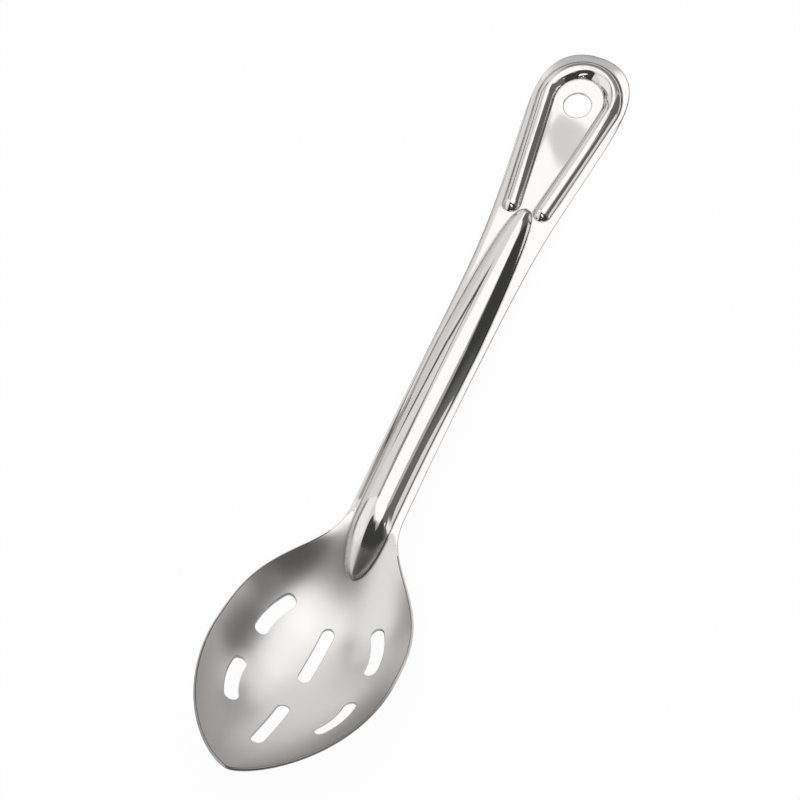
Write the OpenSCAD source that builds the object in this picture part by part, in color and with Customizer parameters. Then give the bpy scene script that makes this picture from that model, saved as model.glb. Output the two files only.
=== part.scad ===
// Slotted serving spoon, pressed from one stainless sheet, lying on a table.
// It is drawn flat-rimmed first: x is across, y runs from the bowl's tip to the
// handle's end and z is up. Then it is tipped down until bowl and handle rest.

/* [Whole spoon] */
// Length from the bowl's tip to the handle's end, along the rim
spoon_l = 327; // [300:1:360]
// Thickness of the sheet
sheet_t = 1.2; // [0.8:0.1:1.6]

/* [Bowl] */
// Width of the bowl between the upper edges of its rim
bowl_w = 70.5; // [60:0.5:80]
// Length of the bowl, from its tip to the neck
bowl_l = 123; // [116:1:130]
// Distance from the tip to the bowl's deepest place
bowl_deep_y = 58; // [50:1:64]
// Depth of the bowl below its rim
bowl_depth = 16; // [10:0.5:22]
// How far the rim sags at mid length
rim_sag = 5.7; // [0:0.1:8]
// Distance from the tip to where the shoulders start to draw in
shoulder_y = 42; // [36:1:50]

/* [Slots] */
// Width of every slot
slot_w = 5; // [4.2:0.1:6]
// Length of the two straight slots, round ends included
mid_slot_l = 24; // [16:0.5:28]
// Distance from the tip to the middle of the front straight slot
front_slot_y = 31; // [28:0.1:34]
// Distance from the tip to the middle of the back straight slot
back_slot_y = 67.5; // [62:0.1:74]
// Length of the four curved slots, round ends included
side_slot_l = 20; // [14:0.5:22]
// Radius that the curved slots follow
side_slot_r = 27; // [20:1:40]
// Distance of the curved slots' middles from the spoon's centre line
side_slot_x = 21.3; // [18:0.1:23]
// Distance from the tip to the middle of the front curved slots
front_side_y = 42.4; // [38:0.1:46]
// Distance from the tip to the middle of the back curved slots
back_side_y = 75; // [70:0.1:80]
// Angle at which the curved slots' outer ends lean in
side_lean = 16.6; // [8:0.2:26]

/* [Shank] */
// Width of the shank over its two flanges
shank_w = 21; // [19:0.5:24]
// Rise of the shank just behind the neck, in degrees
neck_rise = 21.4; // [16:0.2:26]
// Rise of the grip, in degrees
grip_rise = 13; // [8:0.5:16]
// Drop of the flanges' outer edges
flange_drop = 0.6; // [0:0.1:1]

/* [Rib] */
// Height of the rib above the sheet beside it
rib_h = 5; // [3:0.1:6]
// Width of the rib at the neck
rib_neck_w = 15; // [12:0.2:17]
// Width of the rib at mid handle
rib_mid_w = 16.8; // [14:0.2:18]
// How far the rib's tongue reaches past the neck into the bowl
tongue_l = 25.4; // [18:0.2:28]
// Distance from the handle's end to the rib's upper tip
rib_end_in = 71.7; // [66:0.1:76]

/* [Handle end] */
// Angle at which each side flares out towards the end, in degrees
flare = 8.6; // [4:0.2:9]
// Distance from the handle's end to where the sides start to flare
flare_in = 85.5; // [76:0.5:96]
// Length of the rounded end
round_l = 53; // [40:1:60]
// Rise of the last stretch, in degrees
end_rise = 21.6; // [14:0.2:26]

/* [Raised border] */
// Radius of the border's arch, at the middle of the bead
arch_r = 13.7; // [12:0.1:15]
// Distance from the handle's end to the middle of the arch
arch_in = 21; // [20:0.5:26]
// Distance from the handle's end to the ends of the border's two arms
arms_in = 71; // [60:0.5:74]
// Angle at which the arms close in, in degrees
arms_lean = 8.2; // [4:0.1:9.5]
// Width of the bead
bead_w = 7; // [5:0.1:7.5]
// Height of the bead
bead_h = 2.8; // [1:0.1:3]

/* [Hanging hole] */
// Diameter of the hanging hole
hole_d = 11; // [6:0.1:14]
// Distance from the handle's end to the middle of the hole
hole_in = 22.4; // [18:0.2:28]

/* [Hidden] */
$fn = 48;

// Powers that set how full each curve is
tip_power = 1.9;
tip_fullness = 0.68;
shoulder_power = 2.4;
shoulder_fullness = 3.5;
floor_power = 1.4;
wall_power = 2.4;
end_power = 4.4;
flange_neck_power = 8;
flange_grip_power = 20;
bead_power = 0.8;
rib_neck_power = 0.8;
rib_mid_power = 1;
rib_end_power = 1.3;
rib_end_fullness = 0.3;
rib_fade_power = 0.9;
// Share of their half width over which rib and bead round into the sheet
foot_share = 0.08;

// Places of the bends seen from the side, and how softly each one turns
neck_bend_in = 13.4;
neck_bend_y = bowl_l - neck_bend_in;
neck_bend_soft = 10;
grip_bend_out = 21;
grip_bend_y = bowl_l + grip_bend_out;
grip_bend_soft = 30;
end_bend_in = 35;
end_bend_y = spoon_l - end_bend_in;
end_bend_soft = 40;
flare_soft = 24;

// Places that the rib and the border take from the sizes above
rib_tip_y = bowl_l - tongue_l;
tongue_round_l = 20;
rib_widen_out = 7;
rib_widen_y = bowl_l + rib_widen_out;
rib_widen_l = 60;
rib_widest_y = rib_widen_y + rib_widen_l;
rib_end_y = spoon_l - rib_end_in;
arch_y = spoon_l - arch_in;
arm_l = (arms_in - arch_in - arch_r * sin(arms_lean)) / cos(arms_lean);

// Where the bowl ends and the shank starts, and the shank and the handle end
neck_joint_in = 9;
bowl_joint_y = bowl_l - neck_joint_in;
end_joint_out = 10;
end_joint_y = spoon_l - arms_in - end_joint_out;
tongue_lead = 2;
tongue_rows_y = rib_tip_y - tongue_lead;

// Stations along the spoon and points across it
tip_inset = 0.04;
tip_rows = 16;
floor_rows = 11;
tongue_rows = 11;
shank_rows = 30;
arm_rows = 16;
end_rows = 34;
columns = 36;
step = 0.05;
over = 12;

// Grows from 0 along a straight line, with a soft start
function ramp(t, soft) = (t + sqrt(t * t + soft * soft)) / 2;

function clamp01(v) = min(max(v, 0), 1);

// Falls from 1 to 0 with a level start and a level end
function fall(v, power, fullness = 2) = pow(cos(90 * pow(clamp01(v), power)), fullness);

// Cross-section of a pressed rib or bead, 1 at its crest and rounded into the sheet at its feet
function swell(u, power) = pow(ramp(1 - u * u, foot_share), power);

// Share of the bowl's full depth at each station
function deep(y) = y < bowl_deep_y
    ? sin(90 * y / bowl_deep_y)
    : fall((y - bowl_deep_y) / (bowl_l - bowl_deep_y), floor_power);

// Half of the spoon's width at each station
function tip_round(y) = 1 - pow(1 - clamp01(y / bowl_deep_y), tip_power);
function end_round(y) = 1 - pow(clamp01((y - spoon_l + round_l) / round_l), end_power);
function shoulder(y) =
    fall((y - shoulder_y) / (bowl_l - shoulder_y), shoulder_power, shoulder_fullness);
function side_w(y) = shank_w / 2 + (bowl_w - shank_w) / 2 * shoulder(y)
    + tan(flare) * ramp(y - spoon_l + flare_in, flare_soft);
function half_w(y) = side_w(y) * pow(tip_round(y), tip_fullness) * sqrt(end_round(y));

// Height of the edge at each station
function edge_z(y) =
    tan(neck_rise) * ramp(y - neck_bend_y, neck_bend_soft)
    + (tan(grip_rise) - tan(neck_rise)) * ramp(y - grip_bend_y, grip_bend_soft)
    + (tan(end_rise) - tan(grip_rise)) * ramp(y - end_bend_y, end_bend_soft)
    - rim_sag * deep(y);

// Half of the rib's width: blunt in the bowl, slender at its upper tip
function neck_share(y) = fall((y - rib_widen_y) / rib_widen_l, 1);
function rib_body(y) = (rib_mid_w - (rib_mid_w - rib_neck_w) * neck_share(y)) / 2;
function rib_power(y) = rib_mid_power - (rib_mid_power - rib_neck_power) * neck_share(y);
function rib_tongue(y) = sqrt(1 - pow(1 - clamp01((y - rib_tip_y) / tongue_round_l), 2));
function rib_upper(y) =
    pow(1 - pow(clamp01((y - rib_widest_y) / (rib_end_y - rib_widest_y)), rib_end_power), rib_end_fullness);
function rib_share(y) = rib_tongue(y) * rib_upper(y);
function rib_z(x, y) = rib_share(y) <= 0 ? 0
    : rib_h * pow(rib_share(y), rib_fade_power)
        * swell(x / (rib_body(y) * rib_share(y)), rib_power(y));

// The flanges curl down at their edges: softly at the neck, tightly along the grip
function flange_power(y) = flange_grip_power - (flange_grip_power - flange_neck_power) * neck_share(y);
function flange_z(x, y) = flange_drop * (1 - shoulder(y)) * sqrt(end_round(y))
    * (1 - pow(abs(x) / side_w(y), flange_power(y)));

// Distance from the middle of the bead: an arch with two straight arms
function arm_s(x, y) =
    (arch_r * cos(arms_lean) - abs(x)) * sin(arms_lean)
    + (arch_y - arch_r * sin(arms_lean) - y) * cos(arms_lean);
function arm_t(x, y) =
    (abs(x) - arch_r * cos(arms_lean)) * cos(arms_lean)
    + (arch_y - arch_r * sin(arms_lean) - y) * sin(arms_lean);
function bead_d(x, y) = arm_s(x, y) < 0
    ? abs(norm([x, y - arch_y]) - arch_r)
    : norm([arm_t(x, y), max(arm_s(x, y) - arm_l, 0)]);
function bead_z(x, y) = bead_h * swell(bead_d(x, y) / (bead_w / 2), bead_power);

// Height of the sheet's upper face
function top_z(x, y) = edge_z(y)
    - bowl_depth * deep(y) * (1 - pow(abs(x) / half_w(y), wall_power))
    + flange_z(x, y)
    + rib_z(x, y) + bead_z(x, y);

// Slopes of the upper face across and along the spoon
function slope_x(x, y) = (top_z(x + step, y) - top_z(x - step, y)) / (2 * step);
function slope_y(x, y) = (top_z(x, y + step) - top_z(x, y - step)) / (2 * step);

// The point under [x, y] on the lower face, in the same cross-section
function below(x, y, z, sx, sy) =
    let (drop = sheet_t * sqrt(1 + sx * sx + sy * sy) / (1 + sx * sx))
    [x + drop * sx, y, z - drop];
function above(x, y) = [x, y, top_z(x, y)];

function across(y) = [for (j = [0 : columns]) (2 * j / columns - 1) * half_w(y)];
function top_row(y) = [for (x = across(y)) above(x, y)];
function low_row(y) = let (at = min(max(y, 2 * step), spoon_l - 2 * step))
    [for (x = across(y)) below(x, y, top_z(x, y), slope_x(x, at), slope_y(x, at))];

// Stations from one place to another, the first one left out
function even(from, to, count) = [for (i = [1 : count]) from + (to - from) * i / count];
bowl_y = concat([tip_inset], [for (i = [1 : tip_rows]) bowl_deep_y * (1 - cos(90 * i / tip_rows))],
    even(bowl_deep_y, tongue_rows_y, floor_rows), even(tongue_rows_y, bowl_joint_y, tongue_rows));
shank_y = concat([bowl_joint_y], even(bowl_joint_y, end_joint_y, shank_rows));
end_y = concat([end_joint_y], even(end_joint_y, spoon_l - round_l, arm_rows),
    [for (i = [1 : end_rows - 1]) spoon_l - round_l * (1 - sin(90 * i / end_rows))], [spoon_l - tip_inset]);

// The lower face decides how far the spoon tips down before it rests
function lowest(y) = [y, min([for (p = low_row(y)) p.z])];
bowl_low = [for (y = bowl_y) lowest(y)];
end_low = [for (y = end_y) lowest(y)];
rest_slope = min([for (e = end_low) max([for (b = bowl_low) (e[1] - b[1]) / (e[0] - b[0])])]);
rest_tilt = atan(rest_slope);
function tipped(p) = let (c = cos(rest_tilt), s = sin(rest_tilt))
    [p.x, p.y * c + p.z * s, p.z * c - p.y * s];
rest_z = min([for (b = concat(bowl_low, end_low)) tipped([0, b[0], b[1]]).z]);
ends_y = [for (y = [tip_inset, spoon_l - tip_inset], p = concat(top_row(y), low_row(y))) tipped(p).y];

// A closed stretch of sheet through the given stations
module sheet(stations) {
    n = columns + 1;
    rows = len(stations);
    under = n * rows;
    last = n * (rows - 1);
    top = [for (y = stations) each top_row(y)];
    low = [for (y = stations) each low_row(y)];
    cells = [for (i = [0 : rows - 2], j = [0 : columns - 1]) [n * i + j, j < columns / 2]];
    top_faces = [for (c = cells) each c[1]
        ? [[c[0], c[0] + n, c[0] + n + 1], [c[0], c[0] + n + 1, c[0] + 1]]
        : [[c[0], c[0] + n, c[0] + 1], [c[0] + 1, c[0] + n, c[0] + n + 1]]];
    low_faces = [for (f = top_faces) [f[2] + under, f[1] + under, f[0] + under]];
    side_faces = [for (i = [0 : rows - 2]) each let (a = n * i, b = n * i + columns)
        [[a, a + under, a + n + under], [a, a + n + under, a + n],
         [b, b + n, b + n + under], [b, b + n + under, b + under]]];
    end_faces = [for (j = [0 : columns - 1]) each let (b = last + j)
        [[j, j + 1, j + 1 + under], [j, j + 1 + under, j + under],
         [b, b + 1 + under, b + 1], [b, b + under, b + 1 + under]]];
    polyhedron(concat(top, low), concat(top_faces, low_faces, side_faces, end_faces), convexity = 6);
}

// Lays the finished spoon on the table with its middle over the origin
module lay() {
    translate([0, -(min(ends_y) + max(ends_y)) / 2, -rest_z])
        rotate([-rest_tilt, 0, 0])
            children();
}

module straight_slot(y) {
    run = mid_slot_l - slot_w;
    translate([-slot_w / 2, y - run / 2, -bowl_depth - over])
        cube([slot_w, run, bowl_depth + 2 * over]);
    for (end = [-1, 1])
        translate([0, y + end * run / 2, -bowl_depth - over])
            cylinder(d = slot_w, h = bowl_depth + 2 * over);
}

module curved_slot(y, lean) {
    sweep = (side_slot_l - slot_w) / side_slot_r * 180 / PI;
    translate([side_slot_x, y, -bowl_depth - over])
        rotate([0, 0, lean])
            translate([-side_slot_r, 0, 0]) {
                rotate([0, 0, -sweep / 2])
                    rotate_extrude(angle = sweep)
                        translate([side_slot_r - slot_w / 2, 0])
                            square([slot_w, bowl_depth + 2 * over]);
                for (end = [-1, 1])
                    rotate([0, 0, end * sweep / 2])
                        translate([side_slot_r, 0, 0])
                            cylinder(d = slot_w, h = bowl_depth + 2 * over);
            }
}

module slots() {
    straight_slot(front_slot_y);
    straight_slot(back_slot_y);
    for (side = [0, 1])
        mirror([side, 0, 0]) {
            curved_slot(front_side_y, -side_lean);
            curved_slot(back_side_y, side_lean);
        }
}

// Bored square to the flat panel inside the raised border
module hanging_hole() {
    y = spoon_l - hole_in;
    translate([0, y, top_z(0, y)])
        rotate([atan(slope_y(0, y)), 0, 0])
            cylinder(d = hole_d, h = 2 * over, center = true);
}

module bowl() {
    color("silver")
        lay()
            difference() {
                sheet(bowl_y);
                slots();
            }
}

module shank() {
    color("gainsboro")
        lay()
            sheet(shank_y);
}

module handle_end() {
    color("lightgray")
        lay()
            difference() {
                sheet(end_y);
                hanging_hole();
            }
}

bowl();
shank();
handle_end();
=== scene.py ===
import math
import bpy
import numpy as np
from mathutils import Matrix, Vector
from mathutils.geometry import delaunay_2d_cdt


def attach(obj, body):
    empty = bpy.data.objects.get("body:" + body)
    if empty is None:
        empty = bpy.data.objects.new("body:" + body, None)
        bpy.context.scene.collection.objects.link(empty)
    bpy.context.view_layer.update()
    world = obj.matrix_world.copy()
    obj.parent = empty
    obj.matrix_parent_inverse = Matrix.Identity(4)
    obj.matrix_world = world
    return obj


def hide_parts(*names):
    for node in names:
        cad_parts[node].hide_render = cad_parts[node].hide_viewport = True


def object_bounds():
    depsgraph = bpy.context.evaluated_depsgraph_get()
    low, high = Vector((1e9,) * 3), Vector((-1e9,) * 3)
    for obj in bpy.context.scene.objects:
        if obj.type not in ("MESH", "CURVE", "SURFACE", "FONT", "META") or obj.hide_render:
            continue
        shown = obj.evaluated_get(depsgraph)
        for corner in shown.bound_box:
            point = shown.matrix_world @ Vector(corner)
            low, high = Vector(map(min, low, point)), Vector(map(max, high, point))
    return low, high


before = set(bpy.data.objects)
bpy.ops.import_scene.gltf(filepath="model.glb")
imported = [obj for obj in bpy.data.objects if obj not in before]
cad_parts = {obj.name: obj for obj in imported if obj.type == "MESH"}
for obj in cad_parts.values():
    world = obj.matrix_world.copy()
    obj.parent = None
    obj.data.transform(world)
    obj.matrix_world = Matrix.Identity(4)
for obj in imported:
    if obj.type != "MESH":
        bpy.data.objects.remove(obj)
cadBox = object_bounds()
print("frame loaded:", sorted(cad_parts))

mm = 0.001

# The sheet is worked out in millimetres with its rim flat: x is across, y runs from the
# bowl's tip to the handle's end and z is up. It is tipped onto the table at the very end.
spoon = dict(
    length=327, thickness=1.2, edgeRound=0.42, edgeStep=0.5, bowlStep=0.6, fineStep=0.38,
    fineFrom=94,
)
bowl = dict(
    width=70.5, length=123, deepAt=58, depth=16, rimSag=5.7, shoulderAt=42,
    tipPower=1.9, tipFullness=0.68, shoulderPower=2.4, shoulderFullness=3.5,
    floorPower=1.4, wallPower=2.4,
)
slots = dict(
    width=5, midLength=24, frontMid=31, backMid=67.5, sideLength=20, sideRadius=27,
    sideOut=21.3, frontSide=42.4, backSide=75, sideLean=16.6, edgeRound=0.3,
)
shank = dict(
    width=21, start=114, neckRise=21.4, gripRise=13, flangeDrop=0.6, neckPower=8, gripPower=20,
    neckBend=13.4, neckSoft=10, gripBend=21, gripSoft=30,
)
rib = dict(
    height=5, neckWidth=15, midWidth=16.8, tongue=25.4, fromEnd=71.7, tongueRound=20,
    widenOut=7, widenOver=60, endPower=1.3, endFullness=0.3, fadePower=0.9, neckPower=0.8,
    midPower=1, footShare=0.08,
)
handleEnd = dict(
    start=246, flare=8.6, flareFromEnd=85.5, flareSoft=24, round=53, rise=21.6,
    bend=35, bendSoft=40, power=4.4,
)
border = dict(
    archRadius=13.7, archFromEnd=21, armsFromEnd=71, lean=8.2, width=7, height=2.8, power=0.8,
)
hangingHole = dict(diameter=11, fromEnd=22.4, edgeRound=0.5)
crease = dict(start=0.25, end=1, share=0.5)  # painted shade: the colour is darkened in bends this tight (1/mm), where shade falls in the creases
stations = (shank["start"], handleEnd["start"])  # where the three pieces meet
tiny = dict(width=1e-6, share=1e-9, area=1e-7, rise=1e-12, weld=1e-7)  # where zero won't do


def tanDeg(a):
    return math.tan(math.radians(a))


def sinDeg(a):
    return np.sin(np.radians(a))


def cosDeg(a):
    return np.cos(np.radians(a))


def smooth(k):  # eases from 0 to 1
    return k * k * (3 - 2 * k)


def ramp(t, soft):  # grows from 0 along a straight line, with a soft start
    return (t + np.sqrt(t * t + soft * soft)) / 2


def fall(v, power, fullness=2):  # from 1 to 0, level at both ends
    return np.clip(cosDeg(90 * np.clip(v, 0, 1) ** power), 0, 1) ** fullness


def swell(u, power):  # cross-section of a pressed rib, rounded into the sheet at its feet
    return ramp(1 - u * u, rib["footShare"]) ** power


def deepShare(y):
    rising = sinDeg(90 * np.clip(y, 0, bowl["deepAt"]) / bowl["deepAt"])
    falling = fall((y - bowl["deepAt"]) / (bowl["length"] - bowl["deepAt"]), bowl["floorPower"])
    return np.where(y < bowl["deepAt"], rising, falling)


def shoulderShare(y):
    v = (y - bowl["shoulderAt"]) / (bowl["length"] - bowl["shoulderAt"])
    return fall(v, bowl["shoulderPower"], bowl["shoulderFullness"])


def endShare(y):
    v = (y - spoon["length"] + handleEnd["round"]) / handleEnd["round"]
    return 1 - np.clip(v, 0, 1) ** handleEnd["power"]


def sideWidth(y):  # half of the width without its round ends
    flare = tanDeg(handleEnd["flare"]) * ramp(
        y - spoon["length"] + handleEnd["flareFromEnd"], handleEnd["flareSoft"])
    return shank["width"] / 2 + (bowl["width"] - shank["width"]) / 2 * shoulderShare(y) + flare


def halfWidth(y):
    tip = 1 - (1 - np.clip(y / bowl["deepAt"], 0, 1)) ** bowl["tipPower"]
    half = sideWidth(y) * tip ** bowl["tipFullness"] * np.sqrt(endShare(y))
    return np.maximum(half, tiny["width"])


def edgeHeight(y):
    rises = (shank["neckRise"], shank["gripRise"], handleEnd["rise"])
    neck, grip, end = (tanDeg(a) for a in rises)
    return (neck * ramp(y - bowl["length"] + shank["neckBend"], shank["neckSoft"])
            + (grip - neck) * ramp(y - bowl["length"] - shank["gripBend"], shank["gripSoft"])
            + (end - grip) * ramp(y - spoon["length"] + handleEnd["bend"], handleEnd["bendSoft"])
            - bowl["rimSag"] * deepShare(y))


def byNeck(y, neck, grip):  # from one value at the neck to another at mid handle
    v = (y - bowl["length"] - rib["widenOut"]) / rib["widenOver"]
    return grip - (grip - neck) * fall(v, 1)


def ribHeight(x, y):
    body = byNeck(y, rib["neckWidth"], rib["midWidth"]) / 2
    tip = bowl["length"] - rib["tongue"]
    widest = bowl["length"] + rib["widenOut"] + rib["widenOver"]
    tongue = np.sqrt(1 - (1 - np.clip((y - tip) / rib["tongueRound"], 0, 1)) ** 2)
    upper = np.clip((y - widest) / (spoon["length"] - rib["fromEnd"] - widest), 0, 1)
    share = tongue * (1 - upper ** rib["endPower"]) ** rib["endFullness"]
    share = np.maximum(share, tiny["share"])
    power = byNeck(y, rib["neckPower"], rib["midPower"])
    return rib["height"] * share ** rib["fadePower"] * swell(x / (body * share), power)


def borderDistance(x, y):  # from the middle of the bead: an arch with two straight arms
    c, s = cosDeg(border["lean"]), sinDeg(border["lean"])
    out = np.abs(x) - border["archRadius"] * c
    down = spoon["length"] - border["archFromEnd"] - border["archRadius"] * s - y
    along = down * c - out * s
    armLength = (border["armsFromEnd"] - border["archFromEnd"] - border["archRadius"] * s) / c
    arch = np.abs(np.hypot(x, y - spoon["length"] + border["archFromEnd"]) - border["archRadius"])
    arm = np.hypot(out * c + down * s, np.maximum(along - armLength, 0))
    return np.where(along < 0, arch, arm)


def height(x, y):  # of the sheet's upper face
    u = np.abs(x) / halfWidth(y)
    flange = shank["flangeDrop"] * (1 - shoulderShare(y)) * np.sqrt(endShare(y))
    curl = (np.abs(x) / sideWidth(y)) ** byNeck(y, shank["neckPower"], shank["gripPower"])
    bead = swell(borderDistance(x, y) / (border["width"] / 2), border["power"])
    return (edgeHeight(y)
            - bowl["depth"] * deepShare(y) * (1 - u ** bowl["wallPower"])
            + flange * (1 - curl)
            + ribHeight(x, y)
            + border["height"] * bead)


def normalAt(x, y, step=0.004):
    margin = 3 * step
    y = np.clip(y, margin, spoon["length"] - margin)
    sx = (height(x + step, y) - height(x - step, y)) / (2 * step)
    sy = (height(x, y + step) - height(x, y - step)) / (2 * step)
    n = np.stack([-sx, -sy, np.ones_like(sx)], -1)
    return n / np.linalg.norm(n, axis=-1, keepdims=True)


def creaseShadeAt(q, side, step=0.15):  # 1 along the tight inner bends of a face, else 0; this is where shade is painted into the colour
    margin = 2 * step
    x, y = q[:, 0], np.clip(q[:, 1], margin, spoon["length"] - margin)
    around = height(x + step, y) + height(x - step, y) + height(x, y + step) + height(x, y - step)
    bend = side * (around - 4 * height(x, y)) / step ** 2
    return smooth(np.clip((bend - crease["start"]) / (crease["end"] - crease["start"]), 0, 1))


def facePoint(q, depth=0):  # a point of the sheet, depth below its upper face
    x, y = q[:, 0], q[:, 1]
    return np.stack([x, y, height(x, y)], -1) - depth * normalAt(x, y)


# Rest pose, on the lowest points of the bowl and of the handle's end

rest = dict(margin=0.05, rows=3000, columns=41, bowlEvery=4, endEvery=2)


def restPose():
    y = np.linspace(rest["margin"], spoon["length"] - rest["margin"], rest["rows"])
    x = np.linspace(-1, 1, rest["columns"])[:, None] * halfWidth(y)
    q = np.stack([x.ravel(), np.tile(y, rest["columns"])], -1)
    low = facePoint(q, spoon["thickness"])
    lowest = np.argmin(low[:, 2].reshape(rest["columns"], -1), 0)
    under = low[lowest * len(y) + np.arange(len(y))]
    bowlRow = under[under[:, 1] < shank["start"]][::rest["bowlEvery"]]
    endRow = under[under[:, 1] > handleEnd["start"]][::rest["endEvery"]]
    rise = (endRow[:, None, 2] - bowlRow[None, :, 2]) / (endRow[:, None, 1] - bowlRow[None, :, 1])
    tilt = math.atan(rise.max(1).min())
    turn = np.array(Matrix.Rotation(-tilt, 3, "X"))
    both = np.concatenate([facePoint(q), low]) @ turn.T
    middle = (both[:, 1].min() + both[:, 1].max()) / 2
    boxMiddle = (cadBox[0][1] + cadBox[1][1]) / 2 / mm
    return turn, np.array([0, boxMiddle - middle, -both[:, 2].min()])


restTurn, restShift = restPose()


def toFrame(points):  # onto the table, in metres
    return (points @ restTurn.T + restShift) * mm


# Outlines in the flat, each going round with the metal on its left

outline = dict(samples=3000, capPoints=40, bendPoints=60, holeStep=5, cutRounds=12)
bandShares = (1 / 3, 2 / 3)  # rows across a rounded edge


def resample(points, step):
    length = np.r_[0, np.cumsum(np.linalg.norm(np.diff(points, axis=0), axis=1))]
    at = np.linspace(0, length[-1], max(2, round(length[-1] / step)) + 1)
    return np.stack([np.interp(at, length, points[:, k]) for k in (0, 1)], -1)


def rimOutline():
    ends = [0, *stations, spoon["length"]]
    side = []
    for start, end in zip(ends, ends[1:]):
        t = np.linspace(0, 1, outline["samples"])
        y = start + (end - start) * smooth(t) * (t if start == 0 else 1)
        if end == spoon["length"]:
            y = start + (end - start) * (1 - (1 - t) ** 2)
        w = halfWidth(y)
        w[(y <= 0) | (y >= spoon["length"])] = 0
        side.append(resample(np.stack([w, y], -1), spoon["edgeStep"])[:-1])
    right = np.concatenate(side + [np.array([[0.0, spoon["length"]]])])
    left = right[1:-1][::-1] * [-1, 1]
    return np.concatenate([right, left])


def straightSlot(mid):
    r, run = slots["width"] / 2, (slots["midLength"] - slots["width"]) / 2
    a = np.radians(np.linspace(0, 180, outline["capPoints"]))
    cap = np.stack([r * np.cos(a), run + r * np.sin(a)], -1)
    loop = np.concatenate([cap, -cap, cap[:1]]) + [0, mid]
    return resample(loop, spoon["edgeStep"])[:-1][::-1]


def curvedSlot(side, mid, lean):
    r, bend = slots["width"] / 2, slots["sideRadius"]
    sweep = (slots["sideLength"] - slots["width"]) / bend / 2
    a = np.linspace(-sweep, sweep, outline["bendPoints"])
    outer = (bend + r) * np.stack([np.cos(a), np.sin(a)], -1)
    inner = (bend - r) * np.stack([np.cos(a), np.sin(a)], -1)[::-1]
    half = np.linspace(0, math.pi, outline["capPoints"])[1:-1]
    caps = []
    for end in (1, -1):
        b = end * sweep + (half if end > 0 else half + math.pi)
        middle = bend * np.array([math.cos(end * sweep), math.sin(end * sweep)])
        caps.append(middle + r * np.stack([np.cos(b), np.sin(b)], -1))
    loop = np.concatenate([outer, caps[0], inner, caps[1], outer[:1]]) - [bend, 0]
    c, s = cosDeg(lean), sinDeg(lean)
    loop = loop @ np.array([[c, s], [-s, c]]) + [slots["sideOut"], mid]
    loop = resample(loop, spoon["edgeStep"])[:-1]
    return loop[::-1] if side > 0 else loop * [-1, 1]


def slotOutlines():
    loops = [straightSlot(slots["frontMid"]), straightSlot(slots["backMid"])]
    for side in (1, -1):
        loops.append(curvedSlot(side, slots["frontSide"], -slots["sideLean"]))
        loops.append(curvedSlot(side, slots["backSide"], slots["sideLean"]))
    return loops


def cutThrough(points, along, depth):  # the flat place where a line along a cut meets a face
    q = points[:, :2].copy()
    for _ in range(outline["cutRounds"]):
        n = normalAt(q[:, 0], q[:, 1])
        z = height(q[:, 0], q[:, 1]) - depth * n[:, 2]
        reach = (z - points[:, 2]) / along[2]
        q = points[:, :2] + reach[:, None] * along[:2] + depth * n[:, :2]
    return q


def turned(loop):  # direction along a closed loop
    t = np.roll(loop, -1, 0) - np.roll(loop, 1, 0)
    return t / np.linalg.norm(t, axis=1, keepdims=True)


def edgeBand(loop, cut, roundness):
    # flat insets for both faces, and the rows of points between them with their normals
    t = spoon["thickness"]
    flat = [loop, loop]
    if cut is not None:
        flat = [cutThrough(cut[0], cut[1], depth) for depth in (0, t)]
    corner = [facePoint(q, depth) for q, depth in zip(flat, (0, t))]
    inset = []
    for q, p in zip(flat, corner):
        outward = np.cross(turned(p), normalAt(q[:, 0], q[:, 1]))
        inset.append(q - roundness * outward[:, :2])
    start, end = (facePoint(q, depth) for q, depth in zip(inset, (0, t)))
    wall = corner[1] - corner[0]
    share = roundness / t
    lower, upper = corner[0] + wall * share, corner[1] - wall * share
    rows = []
    for k in (*bandShares, 1):
        rows.append(((1 - k) ** 2 * start + 2 * k * (1 - k) * corner[0] + k * k * lower,
                     (1 - k) * (corner[0] - start) + k * (lower - corner[0])))
    for k in (0, *bandShares):
        rows.append(((1 - k) ** 2 * upper + 2 * k * (1 - k) * corner[1] + k * k * end,
                     (1 - k) * (corner[1] - upper) + k * (end - corner[1])))
    normals = []
    for p, down in rows:
        n = np.cross(down, turned(p))
        n = -n / np.linalg.norm(n, axis=1, keepdims=True)
        normals.append(n * np.sign((n * np.cross(turned(p), [0, 0, 1])).sum(1))[:, None])
    return inset, [p for p, _ in rows], normals


def holeCut():
    y = spoon["length"] - hangingHole["fromEnd"]
    middle = np.array([0, y, float(height(np.array([0.0]), np.array([y]))[0])])
    axis = normalAt(np.array([0.0]), np.array([y]))[0]
    side = np.cross([1, 0, 0], axis)
    a = np.radians(np.arange(0, -360, -outline["holeStep"]))[:, None]
    r = hangingHole["diameter"] / 2
    return middle + r * (np.cos(a) * [1, 0, 0] - np.sin(a) * side), axis


# One net of triangles for each face of the sheet

grid = dict(stagger=0.25, near=1.5, clear=0.55, batch=4000)  # the first three in steps


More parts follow.
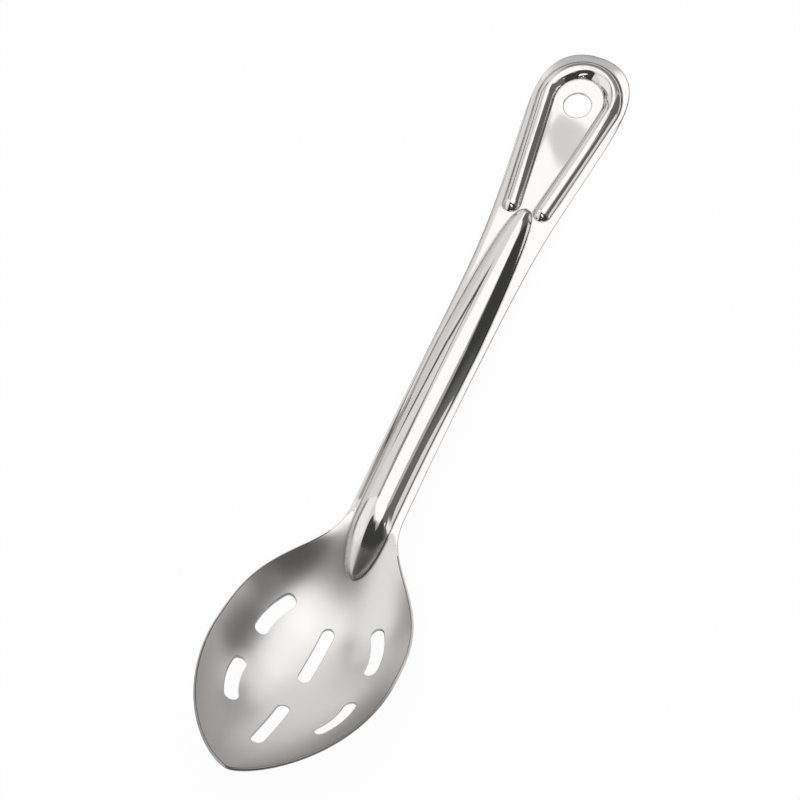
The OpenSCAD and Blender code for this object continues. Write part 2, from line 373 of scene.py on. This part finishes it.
def gridPoints(rings):
    stretches = [0, spoon["fineFrom"], *stations, spoon["length"]]
    edge = np.concatenate(rings)
    rows, lines, steps = [], [], []
    for start, end in zip(stretches, stretches[1:]):
        step = spoon["fineStep"] if start else spoon["bowlStep"]
        count = round((end - start) / step)
        for k in range(0 if start else 1, count):
            y = start + (end - start) * k / count
            w = float(halfWidth(np.array([y]))[0])
            cells = max(2, round(2 * w / step))
            x = (np.arange(1, cells) - (grid["stagger"] if k % 2 else 0)) / cells * 2 * w - w
            rows.append(np.stack([x, np.full_like(x, y)], -1))
            steps.append(step)
            if k == 0 and start in stations:
                lines.append(len(rows) - 1)
    kept, keptLines = [], []
    for k, (row, step) in enumerate(zip(rows, steps)):
        near = edge[np.abs(edge[:, 1] - row[0, 1]) < grid["near"] * step]
        if len(near):
            gap = np.linalg.norm(row[:, None] - near[None], axis=2).min(1)
            row = row[gap > grid["clear"] * step]
        inside = insideOf(row, rings)
        if k in lines:
            keptLines.append((sum(len(r) for r in kept), int(inside.sum())))
        kept.append(row[inside])
    return np.concatenate(kept), keptLines


def insideOf(points, rings):
    if not len(points):
        return np.zeros(0, bool)
    a = np.concatenate(rings)
    b = np.concatenate([np.roll(r, -1, 0) for r in rings])
    inside = np.zeros(len(points), bool)
    for start in range(0, len(points), grid["batch"]):
        p = points[start:start + grid["batch"]]
        lo, hi = p[:, 1].min(), p[:, 1].max()
        use = (np.minimum(a[:, 1], b[:, 1]) <= hi) & (np.maximum(a[:, 1], b[:, 1]) >= lo)
        c, d = a[use], b[use]
        across = (c[None, :, 1] > p[:, None, 1]) != (d[None, :, 1] > p[:, None, 1])
        dy = np.where(d[:, 1] == c[:, 1], tiny["rise"], d[:, 1] - c[:, 1])
        x = c[:, 0] + (p[:, None, 1] - c[:, 1]) / dy * (d[:, 0] - c[:, 0])
        inside[start:start + grid["batch"]] = (across & (p[:, None, 0] < x)).sum(1) % 2 == 1
    return inside


def faceNet(rings):
    inner, lines = gridPoints(rings)
    points = np.concatenate(rings + [inner])
    first = sum(len(r) for r in rings)
    edges, at = [], 0
    for ring in rings:
        n = len(ring)
        edges += [(at + k, at + (k + 1) % n) for k in range(n)]
        at += n
    joints = []
    for place, (start, count) in zip(stations, lines):
        row = list(range(first + start, first + start + count))
        outer = spots[place]
        row = [outer[1]] + row + [outer[0]]
        edges += list(zip(row, row[1:]))
        joints.append(row)
    result = delaunay_2d_cdt([Vector(p) for p in points], edges, [], 0, tiny["weld"])
    flat = np.array([v[:] for v in result[0]])
    new = np.full(len(points), -1)
    for k, olds in enumerate(result[3]):
        for old in olds:
            new[old] = k
    triangles = np.array([f[:] for f in result[2]])
    middle = flat[triangles].mean(1)
    order = np.argsort(middle[:, 1])
    keep = np.zeros(len(triangles), bool)
    keep[order] = insideOf(middle[order], rings)
    triangles = triangles[keep]
    p, q, r = (flat[triangles[:, k]] for k in range(3))
    area = (q[:, 0] - p[:, 0]) * (r[:, 1] - p[:, 1]) - (q[:, 1] - p[:, 1]) * (r[:, 0] - p[:, 0])
    triangles[area < 0] = triangles[area < 0][:, ::-1]
    return flat, triangles[np.abs(area) > tiny["area"]], new, joints


rim = rimOutline()
rightSide = rim[:len(rim) // 2]
spots = {}  # where the joint lines meet the rim, on the right and on the left
for place in stations:
    k = int(np.argmin(np.abs(rightSide[:, 1] - place)))
    spots[place] = (k, len(rim) - k)

bands = [edgeBand(rim, None, spoon["edgeRound"])]
for loop in slotOutlines():
    upright = np.column_stack([loop, height(loop[:, 0], loop[:, 1])])
    bands.append(edgeBand(loop, (upright, np.array([0, 0, 1.0])), slots["edgeRound"]))
bands.append(edgeBand(None, holeCut(), hangingHole["edgeRound"]))
print("edges laid out:", len(bands))

nets = [faceNet([band[0][face] for band in bands]) for face in (0, 1)]
print("faces meshed:", [len(net[1]) for net in nets])


# Vertices, normals and faces of the whole sheet

class Skin:
    def __init__(self):
        self.points, self.normals, self.creases, self.count = [], [], [], 0
        self.faces, self.places = [], []

    def add(self, points, normals, creases=None):
        self.points.append(points)
        self.normals.append(normals)
        self.creases.append(np.zeros(len(points)) if creases is None else creases)
        self.count += len(points)
        return self.count - len(points)

    def addFaces(self, faces, place):
        self.faces += [tuple(int(v) for v in f) for f in faces]
        self.places += list(np.broadcast_to(place, len(faces)))


def wholeSheet():
    skin = Skin()
    starts = []
    for (flat, triangles, _, _), depth in zip(nets, (0, spoon["thickness"])):
        n = normalAt(flat[:, 0], flat[:, 1])
        side = -1 if depth else 1
        start = skin.add(facePoint(flat, depth), side * n, creaseShadeAt(flat, side))
        starts.append(start)
        turnedFaces = triangles[:, ::-1] if depth else triangles
        skin.addFaces(turnedFaces + start, flat[triangles][:, :, 1].mean(1))
    ribbons = []
    at = 0
    for inset, rows, normals in bands:
        n = len(inset[0])
        index = np.arange(n)
        ring = [starts[0] + nets[0][2][at + index]]
        ring += [skin.add(p, m) + index for p, m in zip(rows, normals)]
        ring.append(starts[1] + nets[1][2][at + index])
        after = [np.roll(r, -1) for r in ring]
        middle = (inset[0][:, 1] + np.roll(inset[0][:, 1], -1)) / 2
        for k in range(len(ring) - 1):
            quads = np.stack([ring[k], ring[k + 1], after[k + 1], after[k]], -1)
            skin.addFaces(quads, middle)
        ribbons.append(ring)
        at += n
    caps = {}
    for j, place in enumerate(stations):
        top = [starts[0] + int(nets[0][2][v]) for v in nets[0][3][j]]
        low = [starts[1] + int(nets[1][2][v]) for v in nets[1][3][j]]
        right, left = spots[place]
        cap = [int(r[right]) for r in ribbons[0][1:-1]]
        caps[place] = top + cap + low[::-1] + [int(r[left]) for r in ribbons[0][1:-1]][::-1]
    return skin, caps


skin, caps = wholeSheet()
skinPoints = toFrame(np.concatenate(skin.points))
skinNormals = np.concatenate(skin.normals) @ restTurn.T
skinCreaseShades = np.concatenate(skin.creases)
facePlaces = np.array(skin.places)


def sheetPiece(name, start, end, material):
    # the stretch of sheet between two stations, closed where it meets its neighbour
    picked = [skin.faces[k] for k in np.nonzero((facePlaces > start) & (facePlaces < end))[0]]
    closing = []
    for place, ring in caps.items():
        if place == start:
            closing.append((ring, restTurn @ [0, -1, 0]))
        if place == end:
            closing.append((ring[::-1], restTurn @ [0, 1, 0]))
    used = sorted({v for f in picked for v in f} | {v for ring, _ in closing for v in ring})
    new = {v: k for k, v in enumerate(used)}
    faces = [[new[v] for v in f] for f in picked] + [[new[v] for v in ring] for ring, _ in closing]
    mesh = bpy.data.meshes.new(name)
    mesh.from_pydata([tuple(skinPoints[v]) for v in used], [], faces)
    normals = [tuple(skinNormals[v]) for f in picked for v in f]
    for ring, n in closing:
        normals += [tuple(n)] * len(ring)
    mesh.polygons.foreach_set("use_smooth", [True] * len(picked) + [False] * len(closing))
    mesh.normals_split_custom_set(normals)
    # each point carries its share of painted shade in tight bends, for the materials
    mesh.attributes.new("crease", "FLOAT", "POINT").data.foreach_set("value", skinCreaseShades[used])
    mesh.materials.append(material)
    piece = bpy.data.objects.new(name, mesh)
    bpy.context.collection.objects.link(piece)
    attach(piece, "root")
    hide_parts(name)
    print(name, "made:", len(mesh.vertices), "points")


# Materials

class Wire:  # a node's output inside an expression
    def __init__(self, tree, socket):
        self.tree, self.socket = tree, socket

    def math(self, operation, *values):
        sockets = dict(enumerate(values))
        return self.tree.node("ShaderNodeMath", dict(operation=operation), sockets)

    def __add__(self, other):
        return self.math("ADD", self, other)

    def __radd__(self, other):
        return self.math("ADD", other, self)

    def __sub__(self, other):
        return self.math("SUBTRACT", self, other)

    def __rsub__(self, other):
        return self.math("SUBTRACT", other, self)

    def __mul__(self, other):
        return self.math("MULTIPLY", self, other)

    def __rmul__(self, other):
        return self.math("MULTIPLY", other, self)

    def __truediv__(self, other):
        return self.math("DIVIDE", self, other)

    def __rtruediv__(self, other):
        return self.math("DIVIDE", other, self)

    def above(self, edge, soft):  # 0 below edge - soft, 1 above edge + soft
        return self.tree.node("ShaderNodeMapRange", dict(interpolation_type="SMOOTHSTEP"), {
            "Value": self, "From Min": edge - soft, "From Max": edge + soft})


class Tree:
    def __init__(self, nodeTree):
        self.nodes, self.links = nodeTree.nodes, nodeTree.links
        self.nodes.clear()

    def node(self, kind, settings=None, sockets=None, output=0):
        made = self.nodes.new(kind)
        for key, value in (settings or {}).items():
            setattr(made, key, value)
        for key, value in (sockets or {}).items():
            if isinstance(value, Wire):
                self.links.new(value.socket, made.inputs[key])
            else:
                made.inputs[key].default_value = value
        return Wire(self, made.outputs[output]) if len(made.outputs) else None

    def mixColours(self, factor, a, b):
        return self.node("ShaderNodeMix", dict(data_type="RGBA"), {0: factor, 6: a, 7: b}, 2)


def newMaterial(name):
    material = bpy.data.materials.new(name)
    material.use_nodes = True
    return material, Tree(material.node_tree)


satin = dict(
    colour=(0.64, 0.625, 0.612, 1), roughness=0.29,
    grain=2600, grainDetail=3, grainRoughness=0.6, grainHeight=0.000004,
)
polish = dict(
    colour=(0.675, 0.665, 0.656, 1), roughness=0.07,
    scratches=900, scratchDetail=4, scratchRoughness=0.7, scratchHeight=0.0000004,
    scratchStretch=(1, 0.08, 1),
)
uneven = dict(clouds=60, detail=2, middle=0.5, lineShift=0.007, roughnessShift=0.03)
finishLine = dict(  # where the polish of the handle runs into the satin, further down the tongue
    y=-0.0565, soft=0.0022, tongueReach=0.006, tongueHalf=0.005, tongueSoft=0.0025,
)
paintedRimShade = dict(  # painted shade: the satin's colour is darkened along the front part of the rim, standing in for darker reflections there
    middle=-0.105, across=0.036, along=0.061, start=0.82, soft=0.2,
    back=-0.112, backSoft=0.02, share=0.42,
)


def sheetSteel(name):
    material, t = newMaterial(name)
    place = t.node("ShaderNodeTexCoord", output=3)
    split = t.node("ShaderNodeSeparateXYZ", sockets={0: place})
    x, y = (Wire(t, split.socket.node.outputs[k]) for k in (0, 1))
    stretched = t.node("ShaderNodeMapping", dict(vector_type="POINT"), {
        "Vector": place, "Scale": polish["scratchStretch"]})
    grain = t.node("ShaderNodeTexNoise", sockets={
        "Vector": place, "Scale": satin["grain"],
        "Detail": satin["grainDetail"], "Roughness": satin["grainRoughness"]})
    scratch = t.node("ShaderNodeTexNoise", sockets={
        "Vector": stretched, "Scale": polish["scratches"],
        "Detail": polish["scratchDetail"], "Roughness": polish["scratchRoughness"]})
    cloud = t.node("ShaderNodeTexNoise", sockets={
        "Vector": place, "Scale": uneven["clouds"], "Detail": uneven["detail"]})
    drift = cloud - uneven["middle"]
    out = x.math("ABSOLUTE", x).above(finishLine["tongueHalf"], finishLine["tongueSoft"])
    edge = y + (1 - out) * finishLine["tongueReach"] + drift * uneven["lineShift"]
    mask = 1 - edge.above(finishLine["y"], finishLine["soft"])
    rough = mask * satin["roughness"] + (1 - mask) * polish["roughness"]
    rough = rough + drift * uneven["roughnessShift"]
    colour = t.mixColours(mask, polish["colour"], satin["colour"])
    # painted shade along the front of the bowl's rim, as a mask that darkens the colour
    u, v = x / paintedRimShade["across"], (y - paintedRimShade["middle"]) / paintedRimShade["along"]
    near = x.math("SQRT", u * u + v * v).above(paintedRimShade["start"], paintedRimShade["soft"])
    near = near * (1 - y.above(paintedRimShade["back"], paintedRimShade["backSoft"]))
    # painted shade in tight inner bends, read from the mesh attribute
    creaseShadeMask = t.node("ShaderNodeAttribute", dict(attribute_name="crease"), output=2)
    # both painted shades, rim and tight bends, mix the colour toward black
    paintedShade = 1 - (1 - near * paintedRimShade["share"]) * (1 - creaseShadeMask * crease["share"])
    colour = t.mixColours(paintedShade, colour, (0, 0, 0, 1))
    relief = mask * grain * satin["grainHeight"] + (1 - mask) * scratch * polish["scratchHeight"]
    bump = t.node("ShaderNodeBump", sockets={"Height": relief, "Distance": 1, "Strength": 1})
    shader = t.node("ShaderNodeBsdfPrincipled", sockets={
        "Base Color": colour, "Metallic": 1, "Roughness": rough, "Normal": bump})
    t.node("ShaderNodeOutputMaterial", sockets={0: shader})
    return material


sheetPiece("bowl", -math.inf, shank["start"], sheetSteel("satinSteel"))
polished = sheetSteel("polishedSteel")
sheetPiece("shank", shank["start"], handleEnd["start"], polished)
sheetPiece("handle_end", handleEnd["start"], math.inf, polished)


# Table, light and camera

white = (1, 1, 1, 1)
table = dict(size=6, colour=(0.9, 0.9, 0.9, 1), roughness=0.9, glow=0.95)
softboxes = [
    dict(name="softbox", azimuth=62, elevation=70, distance=1.3, size=1.56, radiance=0.46),
    dict(name="fill", azimuth=188, elevation=36, distance=1.3, size=0.9, radiance=0.2),
    dict(name="backFill", azimuth=84, elevation=26, distance=1.3, size=0.6, radiance=0.2),
]
world = dict(seen=1.0, lighting=0.8)
# Grey and bright screens round the spoon, as angles seen from a place near it: high and low
# give their upper and lower borders as pairs of azimuth and elevation, bend shifts them
# sideways by elevation, and soft is the width of the borders at the first azimuth, at the
# last and above. Azimuths go on past 360.
cardCells = 60  # along each side
cards = [
    dict(name="front", grey=0.06, soft=(5, 3, 4),
         high=[(212, 75), (240, 77), (300, 76), (322, 70), (348, 59), (384, 56), (397, 45),
               (413, 40)],
         low=[(212, 66), (228, 52), (236, 42), (244, 22), (328, 19), (342, 12), (380, 13),
              (388, 8), (413, 8)]),
    dict(name="haze", grey=0.19, soft=(10, 9, 5), distance=1.65,
         high=[(342, 55), (384, 54), (391, 49)], low=[(342, 12), (380, 13), (391, 8)]),
    dict(name="glintRight", grey=1.3, soft=(1, 1, 1), distance=1.6,
         high=[(348.5, 42.5), (353.5, 42.5)], low=[(348.5, 37.5)]),
    dict(name="glintLeft", grey=1.3, soft=(1, 1, 1), distance=1.6,
         high=[(273.5, 40), (278.5, 40)], low=[(273.5, 35)]),
    dict(name="wallLight", grey=1.25, soft=(4, 8, 8), distance=0.11, around=(0, -0.06, 0),
         high=[(-3, 38), (14, 38)], low=[(-3, 6)]),
    dict(name="bowlGlow", grey=1.68, soft=(30, 14, 8), distance=0.2, around=(0, -0.09, 0),
         high=[(-15, 88), (125, 88)], low=[(-15, 64)]),
    dict(name="armFlag", grey=0.17, soft=(3, 3, 2), distance=0.13, around=(-0.006, 0.112, 0),
         high=[(30, 40), (40, 46), (54, 51), (71, 56)], low=[(30, -4)]),
    dict(name="backScreen", grey=0.72, soft=(10, 24, 3), distance=0.09, around=(0, 0.158, 0),
         high=[(40, 61), (155, 61)], low=[(40, -4)]),
    dict(name="backFlag", grey=0.3, soft=(6, 20, 14), distance=0.085, around=(0, 0.158, 0),
         high=[(48, 56), (148, 56)], low=[(48, -4)]),
    dict(name="panelShade", grey=0.92, soft=(1.2, 1.5, 4), distance=0.1, around=(0, 0.127, 0.003),
         high=[(109, 60), (118, 66.5), (122.5, 64.5), (126, 59)],
         low=[(109, 57.5), (120.5, 54), (126, 57)]),
    dict(name="lowScreen", grey=0.35, soft=(6, 5, 5),
         high=[(166, 15), (215, 15)], low=[(166, -4)]),
    dict(name="flangeShade", grey=0.42, soft=(3, 3, 3),
         high=[(140, 57), (158, 57)], low=[(140, 43)]),
    dict(name="pole", grey=0.08, soft=(1, 1, 3), distance=1.6, around=(0, 0.05, 0),
         high=[(-2.4, 70), (2.4, 70)], low=[(0, -8)],
         bend=[(0, 163), (2, 162), (12, 156), (21, 151), (26, 147), (34, 141), (41, 143.5),
               (46, 146), (54, 150), (59, 155), (64, 168), (70, 190)]),
]
view = dict(
    azimuth=-48.44, elevation=65.055, distance=988.1, target=(-9.79, -5.68, 15), roll=-18.885,
    lens=117.44, sensor=36, nearest=0.01, farthest=20,
)


def lookFrom(place, target, roll=0):
    facing = (Vector(place) - Vector(target)).to_track_quat("Z", "Y").to_matrix().to_4x4()
    return Matrix.Translation(place) @ facing @ Matrix.Rotation(math.radians(roll), 4, "Z")


def direction(azimuth, elevation):  # azimuth 0 is +X, 90 is +Y
    a, e = math.radians(azimuth), math.radians(elevation)
    return Vector((math.cos(a) * math.cos(e), math.sin(a) * math.cos(e), math.sin(e)))


def makeTable():
    # paler than it is lit where the camera sees it, as a white backdrop is
    material, t = newMaterial("tableWhite")
    straight = t.node("ShaderNodeLightPath")
    lit = t.node("ShaderNodeBsdfPrincipled", sockets={
        "Base Color": table["colour"], "Roughness": table["roughness"]})
    pale = t.node("ShaderNodeEmission", sockets={"Color": white, "Strength": 1})
    shader = t.node("ShaderNodeMixShader", sockets={0: straight * table["glow"], 1: lit, 2: pale})
    t.node("ShaderNodeOutputMaterial", sockets={0: shader})
    mesh = bpy.data.meshes.new("table")
    s = table["size"] / 2
    mesh.from_pydata([(-s, -s, 0), (s, -s, 0), (s, s, 0), (-s, s, 0)], [], [(0, 1, 2, 3)])
    mesh.materials.append(material)
    top = bpy.data.objects.new("table", mesh)
    bpy.context.collection.objects.link(top)


def makeCard(name, grey, high, low, soft, bend=((0, 0),), distance=1.7, around=(0, 0, 0)):
    # a curved screen with soft borders, seen only in reflections
    material, t = newMaterial(name)
    shown = t.node("ShaderNodeAttribute", dict(attribute_name="cover"), output=2)
    light = t.node("ShaderNodeEmission", sockets={"Color": (grey, grey, grey, 1), "Strength": 1})
    clear = t.node("ShaderNodeBsdfTransparent")
    shader = t.node("ShaderNodeMixShader", sockets={0: shown, 1: clear, 2: light})
    t.node("ShaderNodeOutputMaterial", sockets={0: shader})
    start, end = high[0][0], high[-1][0]
    share = np.linspace(0, 1, cardCells + 1)
    points, cover = [], []
    for u in share:
        a = start + (end - start) * u
        top, bottom = (np.interp(a, *zip(*border)) for border in (high, low))
        for v in share:
            e = bottom + (top - bottom) * v
            points.append(direction(a + np.interp(e, *zip(*bend)), e) * distance + Vector(around))
            k = min(1, (a - start) / soft[0], (end - a) / soft[1], (top - e) / soft[2])
            cover.append(smooth(k))
    row = cardCells + 1
    faces = [(row * i + j, row * i + j + 1, row * i + row + j + 1, row * i + row + j)
             for i in range(cardCells) for j in range(cardCells)]
    mesh = bpy.data.meshes.new(name)
    mesh.from_pydata(points, [], faces)
    mesh.attributes.new("cover", "FLOAT", "POINT").data.foreach_set("value", cover)
    mesh.materials.append(material)
    card = bpy.data.objects.new(name, mesh)
    bpy.context.collection.objects.link(card)
    card.visible_camera = card.visible_diffuse = card.visible_shadow = False


def makeSoftbox(name, azimuth, elevation, distance, size, radiance):
    light = bpy.data.lights.new(name, "AREA")
    light.shape, light.size = "SQUARE", size
    light.energy = radiance * math.pi * size ** 2
    lamp = bpy.data.objects.new(name, light)
    bpy.context.collection.objects.link(lamp)
    lamp.matrix_world = lookFrom(direction(azimuth, elevation) * distance, (0, 0, 0))


def makeWorld():
    studio = bpy.data.worlds.new("studio")
    bpy.context.scene.world = studio
    studio.use_nodes = True
    t = Tree(studio.node_tree)
    path = t.node("ShaderNodeLightPath").socket.node.outputs
    camera, glossy, through = (
        Wire(t, path[f"Is {kind} Ray"]) for kind in ("Camera", "Glossy", "Transmission"))
    seen = camera.math("MAXIMUM", camera, camera.math("MAXIMUM", glossy, through))
    strength = seen * (world["seen"] - world["lighting"]) + world["lighting"]
    shader = t.node("ShaderNodeBackground", sockets={"Color": white, "Strength": strength})
    t.node("ShaderNodeOutputWorld", sockets={0: shader})


def makeCamera():
    data = bpy.data.cameras.new("camera")
    data.lens, data.sensor_width = view["lens"], view["sensor"]
    data.clip_start, data.clip_end = view["nearest"], view["farthest"]
    camera = bpy.data.objects.new("camera", data)
    bpy.context.collection.objects.link(camera)
    target = Vector(view["target"]) * mm
    place = target + direction(view["azimuth"], view["elevation"]) * view["distance"] * mm
    camera.matrix_world = lookFrom(place, target, view["roll"])
    bpy.context.scene.camera = camera


makeTable()
for box in softboxes:
    makeSoftbox(**box)
for card in cards:
    makeCard(**card)
makeWorld()
makeCamera()
bpy.context.scene.view_settings.view_transform = "Standard"
print("studio made")
